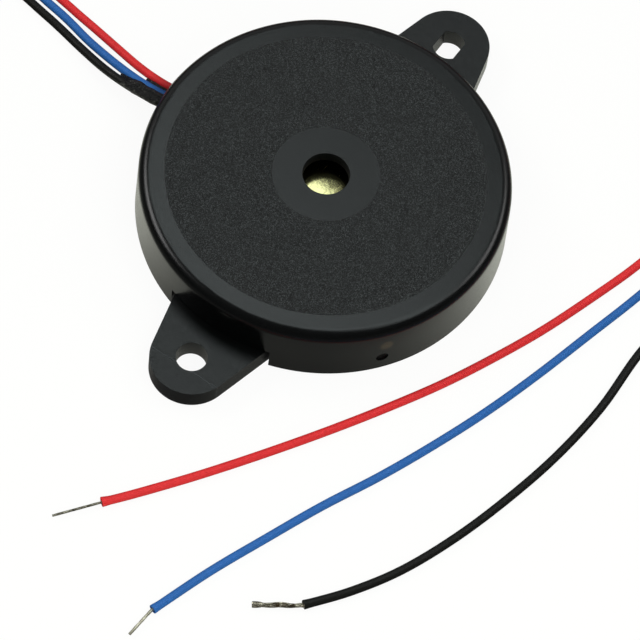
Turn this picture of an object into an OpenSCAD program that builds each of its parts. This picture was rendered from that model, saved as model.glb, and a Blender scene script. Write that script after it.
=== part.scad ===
// Piezo buzzer with three leads: a round moulded case with a sound hole, a base
// plate whose two ears pass out through notches in the case, and a piezo disc
// glued under the top. The origin is the centre of the case's bottom edge, +X
// runs along the ears to the slotted one, and the leads leave on the +Y side.

/* [Case] */
// Outside diameter of the case at its bottom edge
case_d = 44; // [40:0.5:56]
// Height of the case
case_h = 8.3; // [7.6:0.1:12]
// Thickness of the case's top
top_t = 1.5; // [1:0.1:2]
// Thickness of the case's wall beside the base plate
wall_t = 1.3; // [0.9:0.1:1.8]
// Width of the step inside the wall that the base plate seats against
step_w = 0.8; // [0.5:0.1:1.2]
// Draft angle of the case's wall
draft = 1; // [0:0.25:2]
// Radius of the rounded rim of the top
rim_r = 1.3; // [0.8:0.1:1.8]
// Diameter of the sound hole
sound_hole_d = 5.5; // [3:0.1:9]
// Diameter of the gate mark in the wall
gate_d = 1.5; // [0.8:0.1:2]
// Depth of the gate mark
gate_depth = 0.25; // [0.1:0.05:0.5]

/* [Base plate and ears] */
// Thickness of the base plate's rim and ears
plate_t = 2.6; // [2:0.1:3.2]
// Thickness of the base plate inside its rim
plate_floor_t = 1.4; // [1:0.1:1.8]
// Width of the base plate's rim
plate_rim_w = 1.8; // [1.2:0.1:3]
// Height of the base plate's underside above the case's bottom edge
plate_inset = 0.2; // [0.1:0.05:0.4]
// Distance from the case to the centre of each ear's hole
ear_reach = 4.6; // [4:0.1:7]
// Radius of each ear's round end
ear_end_r = 4.9; // [4:0.1:6]
// Width of each ear where it leaves the case
ear_root_w = 12.8; // [11:0.2:16]
// Diameter of the round hole in one ear
hole_d = 3.7; // [2.6:0.1:4.6]
// Length of the slot in the other ear
slot_l = 3.9; // [3.2:0.1:5]
// Width of the slot
slot_w = 2.9; // [2:0.1:3.1]

/* [Piezo disc] */
// Height of the air space between the case's top and the disc
air_gap = 1.3; // [0.8:0.1:2]
// Thickness of the brass disc
brass_t = 0.3; // [0.2:0.05:0.4]
// Thickness of the ceramic disc
ceramic_t = 0.25; // [0.15:0.05:0.35]
// Thickness of the fired silver electrodes
electrode_t = 0.05; // [0.03:0.01:0.08]
// Width of the bare brass outside the ceramic
brass_border = 5; // [4:0.25:7]
// Width of the bare ceramic outside the electrodes
ceramic_border = 0.5; // [0.3:0.1:1]
// Width of the feedback electrode
tongue_w = 4.4; // [3:0.2:6]
// Length of the feedback electrode
tongue_l = 8.5; // [6:0.25:10]
// Gap between the two electrodes
electrode_gap = 0.6; // [0.4:0.1:1]
// Diameter of a solder joint
solder_d = 2.2; // [1.6:0.1:2.6]
// Height of a solder joint
solder_h = 0.8; // [0.5:0.05:0.95]

/* [Disc support] */
// Width of the seat under the case's top that carries the disc
seat_w = 2; // [1.2:0.1:3]
// Width of the ring that centres the disc
locator_w = 0.9; // [0.6:0.1:1.2]
// How far the locating ring reaches past the disc
locator_reach = 0.4; // [0.2:0.05:0.6]
// Gap between the locating ring and the wall inside the case
locator_gap = 1.35; // [0.8:0.05:2.5]
// Width of the adhesive bead on the disc
bead_w = 1.1; // [0.6:0.1:1.8]

/* [Leads] */
// Outside diameter of a lead's insulation
lead_d = 1.04; // [0.8:0.02:1.24]
// Diameter of the red and blue leads' bare ends
wire_d = 0.42; // [0.3:0.02:0.5]
// Diameter of the black lead's loosely twisted bare end
twist_d = 0.66; // [0.4:0.02:0.78]
// Diameter of the tinned blob on the black lead's end
blob_d = 0.84; // [0.6:0.02:1]
// Length of the sealant along the leads outside the case
sealant_l = 5.6; // [4:0.2:7]
// How far the sealant in the notch stands out from the case
sealant_proud = 0.2; // [0.1:0.05:0.4]

/* [Fits] */
// Radial clearance round the base plate
plate_clearance = 0.15; // [0.1:0.05:0.3]
// Gap at each side of an ear in its notch
notch_gap = 0.5; // [0.3:0.05:0.8]
// Gap above an ear in its notch
notch_top_gap = 0.1; // [0.05:0.05:0.3]
// Radial clearance round the disc in its locating ring
disc_clearance = 0.15; // [0.1:0.05:0.3]
// Gap between the leads and the edges of their notch
lead_gap = 0.4; // [0.3:0.05:0.6]
// Clearance of a lead in the sealant and of a wire in its solder
bond_gap = 0.01; // [0.005:0.005:0.03]

/* [Hidden] */

$fn = 96;
lead_sides = 8;
lead_steps = 2;
wire_steps = 4;
straight_l = 0.8; // how far a bare end runs straight on from its insulation
slack = 1; // how far a cutting shape runs past what it cuts
side_overlap = 0.02; // how far an ear's sides run inside its round end

// Heights and radii that follow from the sizes above
case_r = case_d / 2;
recess_r = case_r - wall_t;
inner_r = recess_r - step_w;
plate_r = recess_r - plate_clearance;
plate_top = plate_inset + plate_t;
ceiling = case_h - top_t;
locator_out_r = inner_r - locator_gap;
locator_in_r = locator_out_r - locator_w;
brass_r = locator_in_r - disc_clearance;
ceramic_r = brass_r - brass_border;
electrode_r = ceramic_r - ceramic_border;
brass_top = ceiling - air_gap;
brass_bottom = brass_top - brass_t;
ceramic_bottom = brass_bottom - ceramic_t;
electrode_bottom = ceramic_bottom - electrode_t;
locator_bottom = brass_bottom - locator_reach;
hole_x = case_r + ear_reach;
lead_r = lead_d / 2;

// The gate mark lies on the wall at this angle and height
gate_angle = 233;
gate_z = 2.4;

// Each lead's route, chosen by hand: across, along and the height of the
// lead's underside above the surface that the buzzer stands on
red_route = [
    [2.6, 15.8, 2.9], [1.8, 18.8, 2.9], [1.3, 22, 2.85], [1.3, 25, 2.6], [1.8, 28, 2], [2.75, 31.5, 1.15],
    [3.8, 35.5, 0.35], [4.6, 39.5, 0], [5.6, 44.5, 0], [8, 50, 0], [12.6, 53.6, 0], [18.4, 53.4, 0],
    [23.8, 50, 0], [28.8, 44.8, 0], [33.4, 38.8, 0], [38, 32.4, 0], [42.4, 25.6, 0], [46.6, 18.4, 0],
    [50.4, 10.8, 0], [53.2, 2.8, 0], [54.4, -5.6, 0], [53.6, -14, 0], [50.4, -21.8, 0], [45.2, -28.2, 0],
    [38.4, -32.8, 0], [30.8, -35.2, 0], [23.2, -35.5, 0], [16, -34.3, 0], [8.8, -32.3, 0], [1.6, -30, 0],
    [-5.2, -27.3, 0], [-11.4, -24.5, 0], [-17.8, -21.1, 0], [-24.4, -17.3, 0], [-31.2, -13.1, 0],
    [-37.6, -8.9, 0], [-43.4, -4.8, 0], [-47.1, -2, 0]
];
blue_route = [
    [0, 15.4, 2.9], [0, 18.8, 2.9], [0, 22, 2.85], [-0.1, 25, 2.6], [0.25, 28, 2], [1, 31.5, 1.15],
    [2, 35.5, 0.35], [3.1, 39.5, 0], [4, 44.5, 0], [5.6, 50.4, 0], [9.8, 55, 0], [16, 56.6, 0],
    [22.2, 54.8, 0], [28.2, 50, 0], [33.6, 43.8, 0], [38.6, 37, 0], [43.4, 29.8, 0], [47.8, 22.2, 0],
    [51.8, 14.2, 0], [54.8, 5.6, 0], [56.4, -3.6, 0], [56, -13, 0], [53, -22, 0], [47.6, -29.6, 0],
    [40.2, -35, 0], [31.4, -37.8, 0], [22, -38.3, 0], [12.8, -36.7, 0], [4.6, -34.8, 0], [-3.4, -32.9, 0],
    [-11, -30.8, 0], [-18.4, -28.3, 0], [-25.4, -25.6, 0], [-32.4, -22.5, 0], [-39.6, -19.7, 0],
    [-46.8, -17, 0], [-54.5, -14.6, 0]
];
black_route = [
    [-2.6, 15.8, 2.9], [-1.8, 18.8, 2.9], [-1.3, 22, 2.85], [-1.35, 25, 2.6], [-1.1, 28, 2], [-0.45, 31.5, 1.15],
    [0.6, 35.5, 0.35], [1.6, 39.5, 0], [2.5, 44.5, 0], [3.8, 50.8, 0], [7.2, 56.6, 0], [13, 60.2, 0],
    [20, 60, 0], [27, 56.2, 0], [33.2, 50, 0], [38.8, 43, 0], [44, 35.6, 0], [48.8, 27.8, 0],
    [53.2, 19.4, 0], [56.8, 10.4, 0], [59, 0.8, 0], [59.4, -9.2, 0], [57.2, -19, 0], [52.4, -27.8, 0],
    [45.2, -34.8, 0], [36, -39.4, 0], [25.8, -41.4, 0], [15.6, -41.4, 0], [6, -40.9, 0], [-2.6, -41.2, 0],
    [-11, -40.5, 0], [-19, -39, 0], [-26.6, -37, 0], [-33.6, -34.4, 0], [-39.2, -31.3, 0], [-43.9, -27.9, 0]
];

// Where each bare end outside stops, in plan
red_tip_end = [-51.7, 1.4];
blue_tip_end = [-58.5, -14.3];
black_tip_end = [-47.3, -23.2];

// The leads in their notch: the notch is centred on the blue one
exit_half = red_route[2].x + lead_r;
exit_underside = blue_route[2].z;
exit_top = exit_underside + lead_d + lead_gap;
exit_w = 2 * (exit_half + lead_gap);
channel_floor = min(plate_top, exit_underside - lead_gap / 2);

// The sealant that crept out along the leads: how much its radius exceeds a lead's
// at even steps outward, and the share of its whole length that it reaches, round
// the black lead and in the grooves on both sides of the blue one
black_coat = [0.3, 0.24, 0.3, 0.22, 0.26, 0.14];
black_groove = [0.16, 0.1, 0.14, 0.06, 0.12, -0.04];
red_groove = [-0.12, -0.17, -0.14, -0.2];
black_share = 1;
red_share = 0.75;

// Where the leads are soldered, in plan: red to the main electrode, blue to
// the feedback electrode and black to the bare brass
red_pad = electrode_r * 0.9 * [sin(30), cos(30)];
blue_pad = [0, electrode_r - solder_d];
black_pad = (ceramic_r + brass_r - bead_w) / 2 * [-sin(12), cos(12)];

// A point with a given height
function raised(p, z) = [p.x, p.y, z];

// A lead's centreline points from its route
function centres(route) = [for (p = route) raised(p, p.z + lead_r)];

// A list of points with one more before its start and one after its end
function extended(p) = concat([2 * p[0] - p[1]], p, [2 * p[len(p) - 1] - p[len(p) - 2]]);

// A point at share t of the curved stretch from b to c
function on_curve(a, b, c, d, t) =
    (2 * b + (c - a) * t + (2 * a - 5 * b + 4 * c - d) * t * t + (3 * b - a - 3 * c + d) * t * t * t) / 2;

// A smooth line through points, with so many steps between neighbours
function smooth(p, steps) = let (e = extended(p)) [
    for (i = [1 : len(p) - 1], s = [0 : steps - 1]) on_curve(e[i - 1], e[i], e[i + 1], e[i + 2], s / steps),
    p[len(p) - 1]
];

function unit(v) = v / norm(v);

// The direction of a line at its point i
function heading(line, i) = unit(line[min(i + 1, len(line) - 1)] - line[max(i - 1, 0)]);

// A point past the first point of a line, straight on from it
function before(line, d) = line[0] - d * heading(line, 0);

// A point past the last point of a line, straight on from it
function after(line, d) = line[len(line) - 1] + d * heading(line, len(line) - 1);

// The ring of points round a line at its point i, flat side down
function ring(line, i, r) = let (
    ahead = heading(line, i),
    side = unit(cross([0, 0, 1], ahead)),
    up = cross(ahead, side),
    corner_r = r / cos(180 / lead_sides)
) [for (k = [0 : lead_sides - 1]) let (a = (k + 0.5) * 360 / lead_sides)
    line[i] + corner_r * (cos(a) * side + sin(a) * up)];

// A round tube along a line, with a radius for each of its points
module tube(line, radii) {
    n = lead_sides;
    last = len(line) - 1;
    points = [for (i = [0 : last]) each ring(line, i, radii[i])];
    walls = [for (i = [0 : last - 1], k = [0 : n - 1]) let (j = (k + 1) % n)
        each [[i * n + k, (i + 1) * n + k, i * n + j], [i * n + j, (i + 1) * n + k, (i + 1) * n + j]]];
    ends = [[for (k = [0 : n - 1]) k], [for (k = [n - 1 : -1 : 0]) last * n + k]];
    polyhedron(points, concat(walls, ends));
}

// A tube of one radius
module even_tube(line, r) {
    tube(line, [for (p = line) r]);
}

// The centreline of a lead, nowhere lower than when it lies on the surface
function lead_line(route) = [for (p = smooth(centres(route), lead_steps)) raised(p, max(p.z, lead_r))];

// The line of a lead's bare end inside the case, up into a solder joint that hangs from height z
function inner_line(route, pad, z) = let (
    line = lead_line(route),
    bend = before(line, straight_l),
    stop = raised(pad, z - solder_h / 2)
) concat([line[0]], smooth([bend, raised((bend + stop) / 2, (bend.z + 3 * stop.z) / 4), stop], wire_steps));

// The line of a lead's bare end outside, ending at a point in plan
function tip_line(route, stop) = let (
    line = lead_line(route),
    start = line[len(line) - 1]
) concat([start], smooth([after(line, straight_l), raised(stop, start.z)], wire_steps));

// The part of a lead's line that passes through the sealant
function near_edge(route) = [
    for (p = lead_line(route)) if (p.y > locator_in_r - slack && p.y < case_r + 2 * sealant_l) p
];

// The point where a line first lies so far out along +Y
function at_y(line, y, i = 0) = i > len(line) - 2 || line[i + 1].y >= y
    ? let (t = (y - line[i].y) / (line[min(i + 1, len(line) - 1)].y - line[i].y))
        line[i] + t * (line[min(i + 1, len(line) - 1)] - line[i])
    : at_y(line, y, i + 1);

// A ring with an inner and an outer radius between two heights
module band(r1, r2, z1, z2) {
    translate([0, 0, z1]) difference() {
        cylinder(r = r2, h = z2 - z1);
        translate([0, 0, -slack]) cylinder(r = r1, h = z2 - z1 + 2 * slack);
    }
}

// A disc between two heights
module disc(r, z1, z2) {
    translate([0, 0, z1]) cylinder(r = r, h = z2 - z1);
}

// The case's outer form: a drafted wall that runs into a rounded rim
module case_form() {
    rim_z = case_h - rim_r;
    rim_x = case_r - (rim_r + rim_z * sin(draft)) / cos(draft);
    rotate_extrude() {
        polygon([
            [0, 0], [case_r, 0], [rim_x + rim_r * cos(draft), rim_z + rim_r * sin(draft)],
            [rim_x, rim_z], [rim_x, case_h], [0, case_h]
        ]);
        translate([rim_x, rim_z]) circle(r = rim_r);
    }
}

// A straight notch through the wall, open at the bottom, on the +Y side
module notch(w, top) {
    start = sqrt(inner_r * inner_r - w * w / 4) - slack;
    translate([-w / 2, start, -slack]) cube([w, case_r - start + slack, top + slack]);
}

// The moulded cup: top, wall, disc support, sound hole and notches
module case() {
    color([0.09, 0.1, 0.11]) difference() {
        union() {
            difference() {
                case_form();
                disc(recess_r, -slack, plate_top);
                disc(inner_r, 0, ceiling);
            }
            band(brass_r - seat_w, locator_out_r, brass_top, ceiling + top_t / 2);
            band(locator_in_r, locator_out_r, locator_bottom, ceiling + top_t / 2);
        }
        disc(sound_hole_d / 2, 0, case_h + slack);
        for (a = [-90, 90]) rotate(a) notch(ear_root_w + 2 * notch_gap, plate_top + notch_top_gap);
        notch(exit_w, exit_top);
        rotate(gate_angle) translate([case_r - gate_depth, 0, gate_z]) rotate([0, 90, 0])
            cylinder(d = gate_d, h = slack, $fn = 32);
    }
}

// The outline of one ear round its hole's centre: its sides run straight through
// the wall, and from the case's edge on they taper in and run into the round end
module ear_outline() {
    half = ear_root_w / 2;
    root = plate_r - plate_rim_w / 2 - hole_x;
    leave = sqrt(case_r * case_r - half * half) - hole_x;
    taper = acos(ear_end_r / norm([leave, half])) - atan2(-leave, half);
    touch = (ear_end_r - side_overlap) * [sin(taper), cos(taper)];
    polygon([
        [root, half], [leave, half], touch, [touch.x, -touch.y], [leave, -half], [root, -half]
    ]);
    circle(r = ear_end_r);
}

// One ear, without its hole, on the +X side
module ear() {
    translate([hole_x, 0, plate_inset]) linear_extrude(plate_t) ear_outline();
}

// The slot: a round hole with two flat sides
module slot() {
    translate([hole_x, 0, plate_inset - slack]) linear_extrude(plate_t + 2 * slack) intersection() {
        circle(d = slot_l);
        square([slot_l, slot_w], center = true);
    }
}

// The base plate: a floor with a thicker rim, and the two ears
module base_plate() {
    color([0.1, 0.11, 0.12]) difference() {
        union() {
            disc(plate_r, plate_inset, plate_top);
            for (a = [0, 180]) rotate(a) ear();
        }
        disc(plate_r - plate_rim_w, plate_inset + plate_floor_t, plate_top + slack);
        slot();
        translate([-hole_x, 0, plate_inset - slack]) cylinder(d = hole_d, h = plate_t + 2 * slack);
        translate([-exit_w / 2, plate_r - plate_rim_w - slack, channel_floor])
            cube([exit_w, plate_rim_w + 2 * slack, plate_t]);
    }
}

// The brass disc, seen through the sound hole
module brass_diaphragm() {
    color([0.75, 0.66, 0.36]) disc(brass_r, brass_bottom, brass_top);
}

// The piezo ceramic, fixed under the brass
module piezo_ceramic() {
    color([0.86, 0.84, 0.76]) disc(ceramic_r, ceramic_bottom, brass_bottom);
}

// The outline of the feedback electrode's tongue, grown by a margin
module tongue_outline(margin) {
    half = tongue_w / 2;
    translate([0, electrode_r - tongue_l + half]) circle(r = half + margin);
    translate([-half - margin, electrode_r - tongue_l + half]) square([2 * (half + margin), tongue_l]);
}

// The main electrode, with a bay for the tongue
module main_electrode() {
    color([0.78, 0.78, 0.76]) translate([0, 0, electrode_bottom]) linear_extrude(electrode_t) difference() {
        circle(r = electrode_r);
        tongue_outline(electrode_gap);
    }
}

// The feedback electrode, which the drive circuit listens to
module feedback_electrode() {
    color([0.78, 0.78, 0.76]) translate([0, 0, electrode_bottom]) linear_extrude(electrode_t) intersection() {
        circle(r = electrode_r);
        tongue_outline(0);
    }
}

// The adhesive: a bead in the corner between the disc and its locating ring
module diaphragm_adhesive() {
    color([0.9, 0.9, 0.88]) rotate_extrude() polygon([
        [brass_r - bead_w, brass_bottom], [locator_in_r, brass_bottom], [locator_in_r, locator_bottom]
    ]);
}

// A solder joint: a low dome hanging from a face at height z, round the wire in it
module solder_joint(pad, z, line) {
    dome_r = (solder_d * solder_d / 4 + solder_h * solder_h) / (2 * solder_h);
    color([0.8, 0.8, 0.8]) difference() {
        translate([pad.x, pad.y, z]) rotate_extrude($fn = 32) intersection() {
            translate([0, dome_r - solder_h]) circle(r = dome_r);
            translate([0, -dome_r]) square(dome_r);
        }
        even_tube(line, wire_d / 2 + bond_gap);
    }
}

red_inner = inner_line(red_route, red_pad, electrode_bottom);
blue_inner = inner_line(blue_route, blue_pad, electrode_bottom);
black_inner = inner_line(black_route, black_pad, brass_bottom);

module red_lead() { color([0.84, 0.16, 0.18]) even_tube(lead_line(red_route), lead_r); }
module blue_lead() { color([0.16, 0.35, 0.65]) even_tube(lead_line(blue_route), lead_r); }
module black_lead() { color([0.11, 0.11, 0.1]) even_tube(lead_line(black_route), lead_r); }

module red_inner_end() { color([0.75, 0.74, 0.7]) even_tube(red_inner, wire_d / 2); }
module blue_inner_end() { color([0.75, 0.74, 0.7]) even_tube(blue_inner, wire_d / 2); }
module black_inner_end() { color([0.75, 0.74, 0.7]) even_tube(black_inner, wire_d / 2); }

module red_solder_joint() { solder_joint(red_pad, electrode_bottom, red_inner); }
module blue_solder_joint() { solder_joint(blue_pad, electrode_bottom, blue_inner); }
module black_solder_joint() { solder_joint(black_pad, brass_bottom, black_inner); }

module red_tip() { color([0.68, 0.66, 0.6]) even_tube(tip_line(red_route, red_tip_end), wire_d / 2); }
module blue_tip() { color([0.68, 0.66, 0.6]) even_tube(tip_line(blue_route, blue_tip_end), wire_d / 2); }

// The black lead's end is fatter: loose strands, with a blob of tin at the last
module black_tip() {
    line = tip_line(black_route, black_tip_end);
    last = len(line) - 1;
    color([0.68, 0.66, 0.6]) tube(line, [for (i = [0 : last])
        (i == 0 ? wire_d : i > last - 2 ? blob_d : twist_d) / 2]);
}

// A block of sealant that fills the leads' notch from radius r outward, between two heights
module plug(r, z1, z2) {
    difference() {
        translate([-exit_w / 2, r - slack, z1]) cube([exit_w, case_r + sealant_proud - r + slack, z2 - z1]);
        disc(r, z1 - slack, z2 + slack);
    }
}

// Sealant round a line outside the case, with what its radius exceeds a lead's at even steps
module coat(line, thickness, share) {
    start = case_r + sealant_proud / 2;
    step = share * sealant_l / (len(thickness) - 1);
    tube(
        [for (i = [0 : len(thickness) - 1]) at_y(line, start + i * step)],
        [for (t = thickness) lead_r + t]
    );
}

// The black sealant: a plug in the notch, and coats that crept out along the leads
module lead_sealant() {
    red = near_edge(red_route);
    blue = near_edge(blue_route);
    black = near_edge(black_route);
    beside_black = [for (p = blue) (p + at_y(black, p.y)) / 2];
    beside_red = [for (p = blue) (p + at_y(red, p.y)) / 2];
    color([0.07, 0.07, 0.07]) difference() {
        union() {
            plug(inner_r, channel_floor, exit_top);
            plug(recess_r, plate_inset, exit_top);
            coat(black, black_coat, black_share);
            coat(beside_black, black_groove, black_share);
            coat(beside_red, red_groove, red_share);
        }
        for (line = [red, blue, black]) even_tube(line, lead_r + bond_gap);
    }
}

case();
base_plate();
brass_diaphragm();
piezo_ceramic();
main_electrode();
feedback_electrode();
diaphragm_adhesive();
red_lead();
blue_lead();
black_lead();
red_inner_end();
blue_inner_end();
black_inner_end();
red_solder_joint();
blue_solder_joint();
black_solder_joint();
red_tip();
blue_tip();
black_tip();
lead_sealant();
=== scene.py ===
"""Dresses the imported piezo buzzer: turned and moulded plastic, brass, leads and their bare ends."""

from math import acos, atan2, cos, hypot, pi, radians, sin, sqrt, tan

import bpy
from bpy.props import FloatProperty, FloatVectorProperty, IntProperty, PointerProperty
from mathutils import Matrix, Vector, noise


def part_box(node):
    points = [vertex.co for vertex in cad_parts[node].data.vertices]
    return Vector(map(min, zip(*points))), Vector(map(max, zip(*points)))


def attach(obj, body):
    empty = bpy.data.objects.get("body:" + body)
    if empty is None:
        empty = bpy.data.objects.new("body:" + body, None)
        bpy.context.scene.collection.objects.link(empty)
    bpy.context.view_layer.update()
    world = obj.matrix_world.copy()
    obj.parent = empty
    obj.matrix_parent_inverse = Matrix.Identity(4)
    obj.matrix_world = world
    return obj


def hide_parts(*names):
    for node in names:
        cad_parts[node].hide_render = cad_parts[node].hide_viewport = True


bl_info = {
    "name": "Piezo Buzzer",
    "version": (1, 0, 0),
    "blender": (4, 5, 0),
    "location": "View3D > Sidebar > Buzzer",
    "description": "Builds a round piezo buzzer with two ears and three leads, and its studio",
    "category": "Object",
}

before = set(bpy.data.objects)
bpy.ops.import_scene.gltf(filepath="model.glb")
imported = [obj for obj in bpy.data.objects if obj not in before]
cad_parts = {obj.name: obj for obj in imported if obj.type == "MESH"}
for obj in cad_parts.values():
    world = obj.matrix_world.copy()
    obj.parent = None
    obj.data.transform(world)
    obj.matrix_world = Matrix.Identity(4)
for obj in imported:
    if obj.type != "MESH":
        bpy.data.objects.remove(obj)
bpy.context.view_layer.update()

BODY = "root"
MM = 0.001

# Places that the frame gives
CASE_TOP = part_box("case")[1][2]
PLATE_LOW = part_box("base_plate")[0][2]
PLATE_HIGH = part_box("base_plate")[1][2]
EAR_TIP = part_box("base_plate")[1][0]
PLATE_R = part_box("base_plate")[1][1]
BRASS_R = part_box("brass_diaphragm")[1][0]
BRASS_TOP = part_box("brass_diaphragm")[1][2]

# The base plate's pocket, and the finishes of the case's top from the middle outward
POCKET_R = PLATE_R - 1.8 * MM
PLATE_FLOOR = PLATE_LOW + 1.4 * MM
SMOOTH_RING_R = 6.35 * MM
MATTE_DISC_R = 18.84 * MM
RIM_R = 20.3 * MM

# Each lead's route in millimetres: across, along and the height of its underside, and how many steps
# its line takes between two of these points
ROUTE_STEPS = 6
RED_ROUTE = [
    (2.6, 15.8, 2.9), (1.8, 18.8, 2.9), (1.3, 22, 2.85), (1.3, 25, 2.6), (1.8, 28, 2), (2.75, 31.5, 1.15),
    (3.8, 35.5, 0.35), (4.6, 39.5, 0), (5.6, 44.5, 0), (8, 50, 0), (12.6, 53.6, 0), (18.4, 53.4, 0),
    (23.8, 50, 0), (28.8, 44.8, 0), (33.4, 38.8, 0), (38, 32.4, 0), (42.4, 25.6, 0), (46.6, 18.4, 0),
    (50.4, 10.8, 0), (53.2, 2.8, 0), (54.4, -5.6, 0), (53.6, -14, 0), (50.4, -21.8, 0), (45.2, -28.2, 0),
    (38.4, -32.8, 0), (30.8, -35.2, 0), (23.2, -35.5, 0), (16, -34.3, 0), (8.8, -32.3, 0), (1.6, -30, 0),
    (-5.2, -27.3, 0), (-11.4, -24.5, 0), (-17.8, -21.1, 0), (-24.4, -17.3, 0), (-31.2, -13.1, 0),
    (-37.6, -8.9, 0), (-43.4, -4.8, 0), (-47.1, -2, 0),
]
BLUE_ROUTE = [
    (0, 15.4, 2.9), (0, 18.8, 2.9), (0, 22, 2.85), (-0.1, 25, 2.6), (0.25, 28, 2), (1, 31.5, 1.15),
    (2, 35.5, 0.35), (3.1, 39.5, 0), (4, 44.5, 0), (5.6, 50.4, 0), (9.8, 55, 0), (16, 56.6, 0),
    (22.2, 54.8, 0), (28.2, 50, 0), (33.6, 43.8, 0), (38.6, 37, 0), (43.4, 29.8, 0), (47.8, 22.2, 0),
    (51.8, 14.2, 0), (54.8, 5.6, 0), (56.4, -3.6, 0), (56, -13, 0), (53, -22, 0), (47.6, -29.6, 0),
    (40.2, -35, 0), (31.4, -37.8, 0), (22, -38.3, 0), (12.8, -36.7, 0), (4.6, -34.8, 0), (-3.4, -32.9, 0),
    (-11, -30.8, 0), (-18.4, -28.3, 0), (-25.4, -25.6, 0), (-32.4, -22.5, 0), (-39.6, -19.7, 0),
    (-46.8, -17, 0), (-54.5, -14.6, 0),
]
BLACK_ROUTE = [
    (-2.6, 15.8, 2.9), (-1.8, 18.8, 2.9), (-1.3, 22, 2.85), (-1.35, 25, 2.6), (-1.1, 28, 2),
    (-0.45, 31.5, 1.15), (0.6, 35.5, 0.35), (1.6, 39.5, 0), (2.5, 44.5, 0), (3.8, 50.8, 0), (7.2, 56.6, 0),
    (13, 60.2, 0), (20, 60, 0), (27, 56.2, 0), (33.2, 50, 0), (38.8, 43, 0), (44, 35.6, 0), (48.8, 27.8, 0),
    (53.2, 19.4, 0), (56.8, 10.4, 0), (59, 0.8, 0), (59.4, -9.2, 0), (57.2, -19, 0), (52.4, -27.8, 0),
    (45.2, -34.8, 0), (36, -39.4, 0), (25.8, -41.4, 0), (15.6, -41.4, 0), (6, -40.9, 0), (-2.6, -41.2, 0),
    (-11, -40.5, 0), (-19, -39, 0), (-26.6, -37, 0), (-33.6, -34.4, 0), (-39.2, -31.3, 0), (-43.9, -27.9, 0),
]

# Where each bare end outside stops, in millimetres
RED_TIP_END = (-51.7, 1.4)
BLUE_TIP_END = (-58.5, -14.3)
BLACK_TIP_END = (-47.3, -23.2)

# How much the sealant's radius exceeds a lead's, in millimetres at even steps outward: round the
# black lead, and in the grooves on both sides of the blue one
BLACK_COAT = (-0.02, 0.0, 0.05, 0.03, 0.06, 0.01, -0.04)
BLACK_GROOVE = (0.02, 0.02, 0.06, 0.05, 0.1, 0.0, -0.28, -0.4)
RED_GROOVE = (-0.12, -0.17, -0.14, -0.2)


class CaseSizes(bpy.types.PropertyGroup):
    """Sizes of the case, the base plate and the ears"""

    case_r: FloatProperty(
        name="Case radius", description="Radius of the case at its bottom edge", default=22 * MM,
        unit="LENGTH",
    )
    draft: FloatProperty(
        name="Draft", description="Draft angle of the case's wall", default=radians(1), subtype="ANGLE"
    )
    rim_r: FloatProperty(
        name="Rim radius", description="Radius of the top's rounded rim", default=1.3 * MM, unit="LENGTH"
    )
    top_t: FloatProperty(
        name="Top thickness", description="Thickness of the case's top", default=1.5 * MM, unit="LENGTH"
    )
    wall_t: FloatProperty(
        name="Wall", description="Thickness of the wall beside the base plate", default=1.3 * MM,
        unit="LENGTH",
    )
    step_w: FloatProperty(
        name="Step", description="Width of the step that the base plate seats against", default=0.8 * MM,
        unit="LENGTH",
    )
    sound_r: FloatProperty(
        name="Sound hole", description="Radius of the sound hole", default=2.75 * MM, unit="LENGTH"
    )
    seat_w: FloatProperty(
        name="Disc seat", description="Width of the seat that carries the disc", default=2 * MM, unit="LENGTH"
    )
    notch_gap: FloatProperty(
        name="Notch gap", description="Gap at each side of an ear in its notch", default=0.5 * MM,
        unit="LENGTH",
    )
    exit_half: FloatProperty(
        name="Lead notch", description="Half the width of the notch for the leads", default=2.22 * MM,
        unit="LENGTH",
    )
    exit_top: FloatProperty(
        name="Lead notch top", description="Height of the top of the notch for the leads", default=4.29 * MM,
        unit="LENGTH",
    )
    ear_reach: FloatProperty(
        name="Ear reach", description="From the case to the centre of an ear's hole", default=4.6 * MM,
        unit="LENGTH",
    )
    ear_half: FloatProperty(
        name="Ear half width", description="Half the ear's width where it leaves the case", default=6.4 * MM,
        unit="LENGTH",
    )
    hole_r: FloatProperty(
        name="Ear hole", description="Radius of the round ear hole", default=1.85 * MM, unit="LENGTH"
    )
    slot_r: FloatProperty(
        name="Slot end", description="Radius of the slot's round ends", default=1.95 * MM, unit="LENGTH"
    )
    slot_half: FloatProperty(
        name="Slot half width", description="Half the distance between the slot's flats", default=1.45 * MM,
        unit="LENGTH",
    )
    gate_r: FloatProperty(
        name="Gate mark", description="Radius of the gate mark in the wall", default=0.75 * MM, unit="LENGTH"
    )
    gate_angle: FloatProperty(
        name="Gate angle", description="Where the gate mark is round the case", default=radians(233),
        subtype="ANGLE",
    )
    gate_z: FloatProperty(
        name="Gate height", description="Height of the gate mark's centre", default=2.4 * MM, unit="LENGTH"
    )
    edge_r: FloatProperty(
        name="Ear edges", description="Rounding of the ears' edges", default=0.28 * MM, unit="LENGTH"
    )


class LeadSizes(bpy.types.PropertyGroup):
    """Sizes of the leads and their bare ends"""

    lead_r: FloatProperty(
        name="Lead radius", description="Radius over a lead's insulation", default=0.52 * MM, unit="LENGTH"
    )
    wire_r: FloatProperty(
        name="Wire radius", description="Radius of the red and blue leads' wires", default=0.16 * MM,
        unit="LENGTH",
    )
    twist_r: FloatProperty(
        name="Twist radius", description="Radius of the black lead's loosely twisted wire", default=0.3 * MM,
        unit="LENGTH",
    )
    strands: IntProperty(name="Strands", description="Strands round the middle one in a wire", default=6)
    coat_l: FloatProperty(
        name="Sealant length", description="How far the sealant reaches along the leads", default=7.2 * MM,
        unit="LENGTH",
    )


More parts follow.
